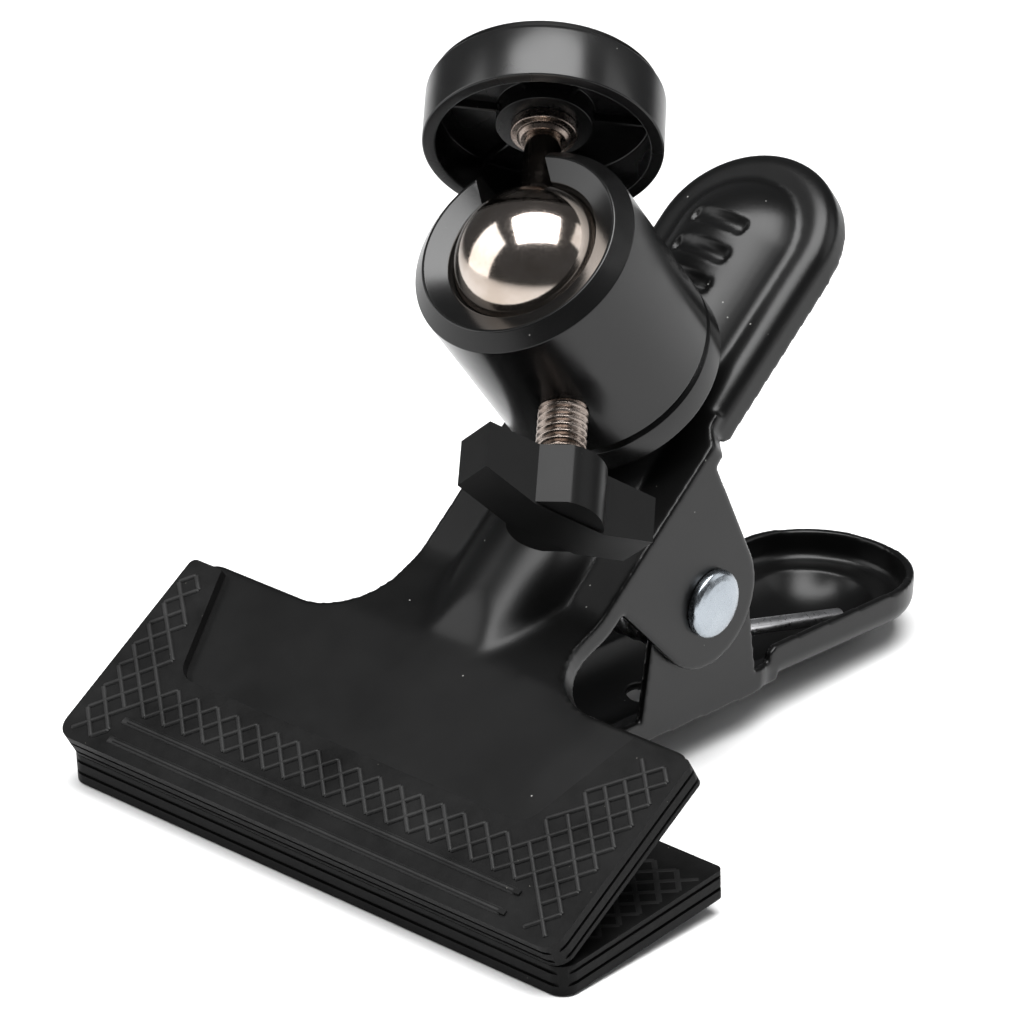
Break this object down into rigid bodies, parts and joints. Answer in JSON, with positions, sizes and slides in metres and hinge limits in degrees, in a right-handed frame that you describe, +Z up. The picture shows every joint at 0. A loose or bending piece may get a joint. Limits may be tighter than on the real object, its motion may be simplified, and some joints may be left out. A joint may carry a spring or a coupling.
{
  "type": "spring clamp with ball head",
  "caption": "Wide-jaw sheet-metal spring clamp with rubber jaw pads, a riveted pivot, a torsion spring and a lockable ball head with a mounting disc.",
  "frame": {"origin": "middle of the bounding box's bottom face, as the clamp stands on its lower half", "axes": "+X along the jaws' width and the pivot rivet, +Y from the jaws to the handles, +Z up"},
  "size_m": [0.104, 0.1428, 0.1203],
  "materials": {
    "black_steel": "satin black powder coat",
    "black_rubber": "matt with a faint lattice",
    "zinc_steel": "zinc plated",
    "spring_steel": "drawn wire, plated",
    "black_aluminium": "satin black anodised",
    "bright_chrome": "polished",
    "nickel_steel": "nickel plated",
    "black_plastic": "moulded, satin",
    "brass": "turned"
  },
  "bodies": {
    "lower_half": {"lower_clamp_half": "black_steel", "lower_jaw_pad": "black_rubber", "pivot_rivet": "zinc_steel", "rivet_tail_washer": "zinc_steel", "spring_sleeve": "black_plastic", "torsion_spring": "spring_steel"},
    "upper_half": {"upper_clamp_half": "black_steel", "upper_jaw_pad": "black_rubber", "head_saddle": "black_plastic", "ball_head_base_ring": "black_aluminium", "head_fixing_screw": "zinc_steel", "head_flat_washer": "zinc_steel", "head_spring_washer": "zinc_steel"},
    "barrel": {"ball_head_barrel": "black_aluminium", "ball_seat_cup": "black_plastic"},
    "plug": {"pressure_plug": "brass"},
    "knob": {"locking_screw": "nickel_steel", "locking_knob": "black_plastic"},
    "ball_stem": {"ball_and_stem": "bright_chrome"},
    "platform": {"mount_disc": "black_plastic", "disc_collar_nut": "nickel_steel", "mount_stud": "nickel_steel", "disc_face_pad": "black_rubber"}
  },
  "joints": [
    {"name": "jaw_open", "type": "hinge", "parent": "lower_half", "child": "upper_half", "pos_m": [0, 0.00365, 0.02899], "axis": [-1, 0, 0], "range_deg": [0, 40], "stiffness_Nm_per_rad": 2.5, "springref_deg": -51.57, "deforming": ["torsion_spring"]},
    {"name": "head_pan", "type": "hinge", "parent": "upper_half", "child": "barrel", "pos_m": [0, -0.00206, 0.06776], "axis": [0, -0.6304, 0.7763], "continuous": true},
    {"name": "plug_slide", "type": "slide", "parent": "barrel", "child": "plug", "axis": [0.5105, -0.6675, -0.5421], "range_m": [0, 0.00187]},
    {"name": "knob_turn", "type": "hinge", "parent": "plug", "child": "knob", "pos_m": [0, -0.00919, 0.07654], "axis": [0.5105, -0.6675, -0.5421], "range_deg": [0, 540]},
    {"name": "stem_tilt", "type": "hinge", "parent": "barrel", "child": "ball_stem", "pos_m": [0, -0.0177, 0.08701], "axis": [0.8526, 0.4056, 0.3294], "range_deg": [0, 125]},
    {"name": "disc_spin", "type": "hinge", "parent": "ball_stem", "child": "platform", "pos_m": [0, -0.0177, 0.08701], "axis": [-0.5225, 0.6619, 0.5375], "continuous": true}
  ],
  "couplings": [
    {"joint": "knob_turn", "follows": "plug_slide", "rad_per_m": 5026.5}
  ]
}
